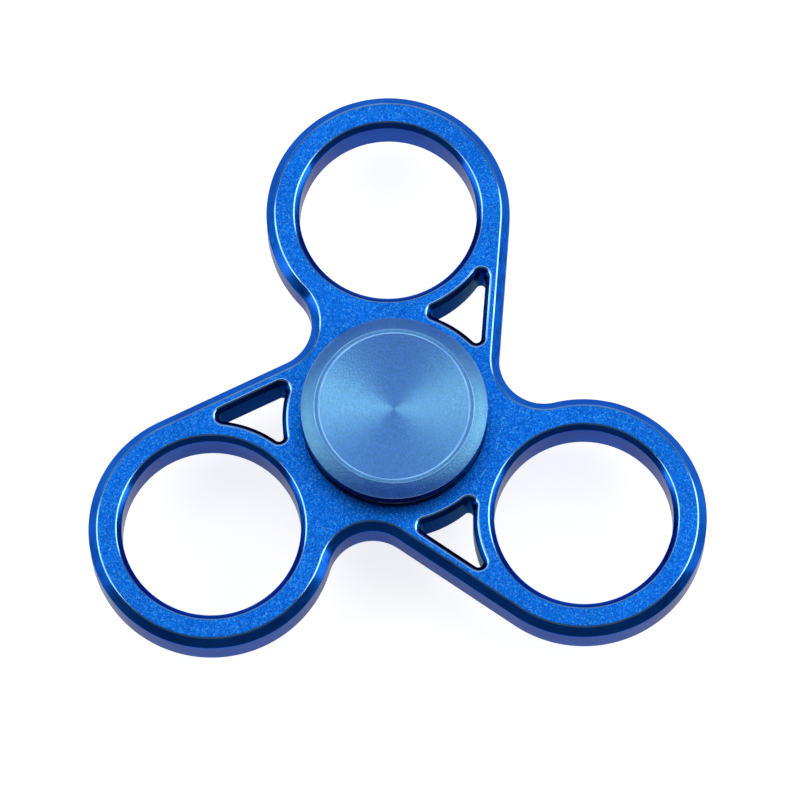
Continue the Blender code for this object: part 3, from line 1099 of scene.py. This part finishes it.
@dataclass
class FingerCap:
    """A dished finger cap with its spigot, turned as one piece.

    The corners listed for the edge finish are the rounded corners of its section that catch the light:
    both sides of the flat lip, and the top of the outer wall. Their lighter edge finish is painted
    highlight, with some edge wear.
    """

    side: Side
    rim_w: float = 0.0017
    lip_w: float = 0.00055
    wall: float = 0.0021
    rim_rise: float = 0.0010
    rim_bulge: float = 0.00016
    rim_bulge_r: float = 0.0042
    dish_depth: float = 0.0012
    edge_w: float = 0.00025
    edge_drop: float = 0.00006
    dish_edge_r: float = 0.0009
    shoulder_r: float = 0.0056
    spigot_r: float = 0.0039
    bore_r: float = 0.0026
    bore_z: float = 0.0037
    seat_z: float = 0.0036
    root_z: float = 0.0002
    lip_edge_r: float = 0.00028
    rim_edge_r: float = 0.00025
    stem_edge_r: float = 0.00012
    edge_steps: int = 5
    dish_steps: int = 28
    steps: int = 192
    # Corners of the section that take the lighter edge finish as painted highlight.
    painted_highlight_corners: tuple[int, ...] = (0, 1, 3)
    lathed: TurnedBlue = TurnedBlue()
    # The cap's wall under the rim, its underside and stem get a darker blue than the frame's cuts:
    # painted shade.
    cut: CutBlue = CutBlue(
        "cap_cut_painted_shade",
        deep=srgb(2, 44, 120),
        bright=srgb(4, 56, 140),
        gloss=(0.28, 0.36, 0.36, 1.0),
    )
    # The lighter finish on the cap's rounded corners: painted highlight, with some edge wear.
    bright: CutBlue = EDGE_WEAR_AND_HIGHLIGHT
    satin: BlastedBlue = BlastedBlue(
        "satin_blue",
        deep=srgb(0, 34, 146),
        middle=srgb(0, 46, 168),
        bright=srgb(6, 66, 190),
        # The rim's sparkle is painted glints too.
        glint_and_scratch=srgb(36, 104, 224),
        rough_low=0.28,
        rough_high=0.42,
        coat=0.0,
        metallic=0.0,
        gloss=(0.30, 0.82, 1.0, 1.0),
        ior=3.33,
        bite=0.8,
        scratches=(),
    )

    @property
    def node(self) -> str:
        """The solid that this cap stands for."""
        return f"{self.side.name.lower()}_cap"

    @property
    def lip_z(self) -> float:
        """Height of the flat lip."""
        low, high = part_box(self.node)
        return max(high.z, -low.z)

    @property
    def wall_z(self) -> float:
        """Height at which the sloped rim meets the outer wall."""
        return self.lip_z - self.rim_rise

    @property
    def dish_z(self) -> float:
        """Height of the edge of the dish."""
        return self.lip_z - self.edge_drop

    @property
    def floor_z(self) -> float:
        """Height of the middle of the dish."""
        return self.dish_z - self.dish_depth

    def section(self) -> Section:
        """The cap's section from the edge of its dish to the end of its bore.

        Returns:
            (radius, height) points.
        """
        cap_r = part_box(self.node)[1].x
        rim_r = cap_r - self.rim_w
        under_z = self.wall_z - self.wall
        bulge = Vector((self.rim_rise, self.rim_w)).normalized() * self.rim_bulge
        crown = Vector((rim_r + cap_r, self.lip_z + self.wall_z)) / 2 + bulge
        corners = [
            (rim_r - self.lip_w - self.edge_w, self.dish_z),
            (rim_r - self.lip_w, self.lip_z),
            (rim_r, self.lip_z),
            tuple(crown),
            (cap_r, self.wall_z),
            (cap_r, under_z),
            (self.shoulder_r, under_z),
            (self.shoulder_r, self.seat_z),
            (self.spigot_r, self.seat_z),
            (self.spigot_r, self.root_z),
            (self.bore_r, self.root_z),
            (self.bore_r, self.bore_z),
            (0.0, self.bore_z),
        ]
        radii = [self.dish_edge_r, self.lip_edge_r, self.rim_bulge_r, self.rim_edge_r, self.rim_edge_r]
        radii += [self.stem_edge_r] * (len(corners) - 2 - len(radii))
        return rounded(corners, radii, self.edge_steps)

    def reach(self, line: Section, corner: int) -> tuple[float, float]:
        """Radii between which a rounded corner of the section lies."""
        first = 1 + corner * (self.edge_steps + 1)
        return line[first][0], line[first + self.edge_steps][0]

    def build(self) -> bpy.types.Object:
        """Draws the section and turns it about the spin axis.

        Returns:
            The cap.
        """
        sign = self.side.value
        line = self.section()
        dish_r = line[0][0]
        ball = (dish_r**2 + self.dish_depth**2) / (2 * self.dish_depth)
        pen = Pen(f"{self.node}_turned")
        pen.start(Vector((0.0, 0.0, sign * self.floor_z)))
        swing = math.asin(dish_r / ball)
        pen.arc(UP * sign * (self.floor_z + ball), swing, self.dish_steps, Vector((0.0, -sign, 0.0)))
        for radius, height in line[1:]:
            pen.line(Vector((radius, 0.0, sign * height)))
        pen.revolve(self.steps)
        return pen.lift()

    def dress(self, piece: bpy.types.Object) -> None:
        """Paints the cap and seats it on the holder.

        Args:
            piece: The cap.
        """
        line = self.section()
        dish_r = line[0][0]
        edges = [self.reach(line, corner) for corner in self.painted_highlight_corners]
        lip_r = edges[0][0]
        wall_z = self.wall_z
        inside_z = self.floor_z - self.edge_w

        def surface(middle: Vector, _normal: Vector) -> Surface:
            """Tells the dish, the flats of the rim, its edges and the rest of the cap apart.

            Args:
                middle: Middle of a mesh face.
                _normal: Its direction, which isn't needed here.

            Returns:
                Where the mesh face belongs.
            """
            radius = middle.xy.length
            height = abs(middle.z)
            # The wall under the rim and the underside take the darker cut finish: painted shade.
            if height < wall_z and radius > dish_r:
                return Surface.CUT
            if radius < lip_r:
                return Surface.FACE if height > inside_z else Surface.CUT
            # These corners take the lighter edge finish: painted highlight, with some edge wear.
            edge = any(first < radius < last for first, last in edges)
            return Surface.EDGE if edge else Surface.RIM

        finishes = {
            Surface.FACE: self.lathed.material(),
            Surface.CUT: self.cut.material(),
            Surface.EDGE: self.bright.material(),
            Surface.RIM: self.satin.material(),
        }
        Bench.paint(piece, finishes, surface)
        Bench.smooth(piece)
        Bench.seat(piece, Body.HOLDER, Slot.CAP, self.node)


@dataclass
class Bearing:
    """The ball bearing and the stud, which keep their solids and get their finishes."""

    ground: GroundSteel = GroundSteel(
        "ground_steel",
        deep=srgb(168, 170, 173),
        bright=srgb(206, 208, 210),
        rough_low=0.16,
        rough_high=0.26,
    )
    pressed: GroundSteel = GroundSteel(
        "pressed_steel_sheet",
        deep=srgb(150, 152, 156),
        bright=srgb(192, 194, 197),
        rough_low=0.24,
        rough_high=0.38,
    )
    black: GroundSteel = GroundSteel(
        "black_oxide",
        deep=srgb(22, 22, 25),
        bright=srgb(40, 41, 45),
        rough_low=0.34,
        rough_high=0.5,
    )

    def dress(self, nodes: dict[str, bpy.types.Object]) -> None:
        """Gives each solid that is left showing its finish.

        Args:
            nodes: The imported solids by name.
        """
        ground = self.ground.material()
        pressed = self.pressed.material()
        black = self.black.material()
        for name, node in nodes.items():
            if node.hide_render:
                continue
            if name == "cap_stud":
                finish = black
            elif "race" in name or "ball" in name:
                finish = ground
            else:
                finish = pressed
            node.data.materials.clear()
            node.data.materials.append(finish)
            LOG.info("%s: %s", name, finish.name)


@dataclass(frozen=True)
class SoftBox:
    """A rectangular lamp that looks at the middle of the spinner.

    Its azimuth and elevation are in degrees, and its width runs along the azimuth called run.
    """

    name: str
    azimuth: float
    elevation: float
    run: float
    distance: float
    width: float
    height: float
    radiance: float

    def build(self) -> None:
        """Adds the lamp at its radiance."""
        rise = math.radians(self.elevation)
        aim = at_angle(math.cos(rise), math.radians(self.azimuth)) + UP * math.sin(rise)
        wide = at_angle(1.0, math.radians(self.run))
        wide = (wide - aim * wide.dot(aim)).normalized()
        bpy.ops.object.select_all(action="DESELECT")
        bpy.ops.object.light_add(type="AREA", location=aim * self.distance)
        lamp = bpy.context.object
        lamp.name = self.name
        lamp.rotation_euler = Matrix((wide, aim.cross(wide), aim)).transposed().to_euler()
        lamp.data.shape = "RECTANGLE"
        lamp.data.size = self.width
        lamp.data.size_y = self.height
        lamp.data.energy = self.radiance * math.pi * self.width * self.height
        LOG.info("%s: %.2f W", self.name, lamp.data.energy)


OVERHEAD_BOX = SoftBox(
    "overhead_box",
    azimuth=90.0,
    elevation=74.0,
    run=166.0,
    distance=0.7,
    width=1.1,
    height=0.40,
    radiance=1.14,
)
LEFT_BOX = SoftBox(
    "left_box",
    azimuth=176.0,
    elevation=29.5,
    run=86.0,
    distance=0.8,
    width=0.60,
    height=0.70,
    radiance=2.4,
)
RIGHT_BOX = SoftBox(
    "right_box",
    azimuth=5.0,
    elevation=30.0,
    run=95.0,
    distance=0.8,
    width=0.66,
    height=0.70,
    radiance=3.2,
)
FAR_BOX = SoftBox(
    "far_box",
    azimuth=90.0,
    elevation=30.0,
    run=0.0,
    distance=0.9,
    width=0.80,
    height=0.70,
    radiance=0.4,
)


@dataclass
class Studio:
    """A white floor, soft lamps and the camera.

    The camera's angles, its scale and the pixel of the spin axis were fitted to the rims of the rings.
    """

    image_px: int = 800
    sensor_mm: float = 36.0
    tilt: float = math.radians(15.407)
    roll: float = math.radians(1.247)
    turn: float = math.radians(0.513)
    distance: float = 1.0
    clip_ratio: float = 10.0
    px_per_m: float = 8103.0
    axis_px: tuple[float, float] = (394.55, 424.63)
    floor_side: float = 4.0
    floor_lift: float = 0.79
    floor_shine: float = 0.72
    floor_colour: float = 0.48
    ambient: float = 0.13
    lamps: tuple[SoftBox, ...] = (OVERHEAD_BOX, LEFT_BOX, RIGHT_BOX, FAR_BOX)

    def lay_floor(self) -> None:
        """Lays a white floor under the lower cap, lifted to white where the camera or a gloss sees it."""
        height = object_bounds()[0].z - SPECK
        bpy.ops.object.select_all(action="DESELECT")
        bpy.ops.mesh.primitive_plane_add(size=self.floor_side, location=(0.0, 0.0, height))
        floor = bpy.context.object
        floor.name = "studio_floor"
        board = Board("white_sweep")
        seen = board.add("ShaderNodeLightPath").outputs
        shine = board.calc("MULTIPLY", seen["Is Glossy Ray"], self.floor_shine)
        share = board.calc("MAXIMUM", seen["Is Camera Ray"], shine)
        share = board.calc("MAXIMUM", share, seen["Is Transmission Ray"])
        board.set(
            Base_Color=(self.floor_colour, self.floor_colour, self.floor_colour, 1.0),
            Roughness=1.0,
            Specular_IOR_Level=0.0,
            Emission_Color=WHITE,
            Emission_Strength=board.calc("MULTIPLY", share, self.floor_lift),
        )
        floor.data.materials.append(board.material)
        floor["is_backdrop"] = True

    def light(self) -> None:
        """Sets the dim surroundings and adds the lamps."""
        world = bpy.data.worlds.new("studio")
        bpy.context.scene.world = world
        world.use_nodes = True
        sky = world.node_tree.nodes["Background"]
        sky.inputs["Color"].default_value = WHITE
        sky.inputs["Strength"].default_value = self.ambient
        for lamp in self.lamps:
            lamp.build()

    def shoot(self) -> None:
        """Sets the camera up where the photograph was taken."""
        back = Vector((0.0, -math.sin(self.tilt), math.cos(self.tilt)))
        right = Vector((1.0, 0.0, 0.0))
        view = Matrix((right, back.cross(right), back))
        view = Matrix.Rotation(self.roll, 3, "Z") @ view @ Matrix.Rotation(self.turn, 3, "Z")
        centre = self.image_px / 2
        aside = (self.axis_px[0] - centre) / self.px_per_m
        below = (self.axis_px[1] - centre) / self.px_per_m
        bpy.ops.object.select_all(action="DESELECT")
        bpy.ops.object.camera_add()
        camera = bpy.context.object
        place = view.transposed() @ Vector((-aside, below, self.distance))
        camera.matrix_world = Matrix.Translation(place) @ view.transposed().to_4x4()
        camera.data.sensor_width = self.sensor_mm
        camera.data.lens = self.px_per_m * self.distance / self.image_px * self.sensor_mm
        camera.data.clip_start = self.distance / self.clip_ratio
        camera.data.clip_end = self.distance * self.clip_ratio
        bpy.context.scene.camera = camera

    def build(self) -> None:
        """Sets the whole studio up."""
        self.lay_floor()
        self.light()
        self.shoot()
        bpy.context.scene.view_settings.view_transform = "Standard"


def main() -> None:
    """Builds and dresses the pieces in order, then the studio."""
    logging.basicConfig(level=logging.INFO, format="%(name)s: %(message)s")
    plate = SpinnerFrame()
    plate.dress(plate.build())
    for side in Side:
        cap = FingerCap(side)
        cap.dress(cap.build())
    Bearing().dress(frame["nodes"])
    Studio().build()


if __name__ == "__main__":
    main()
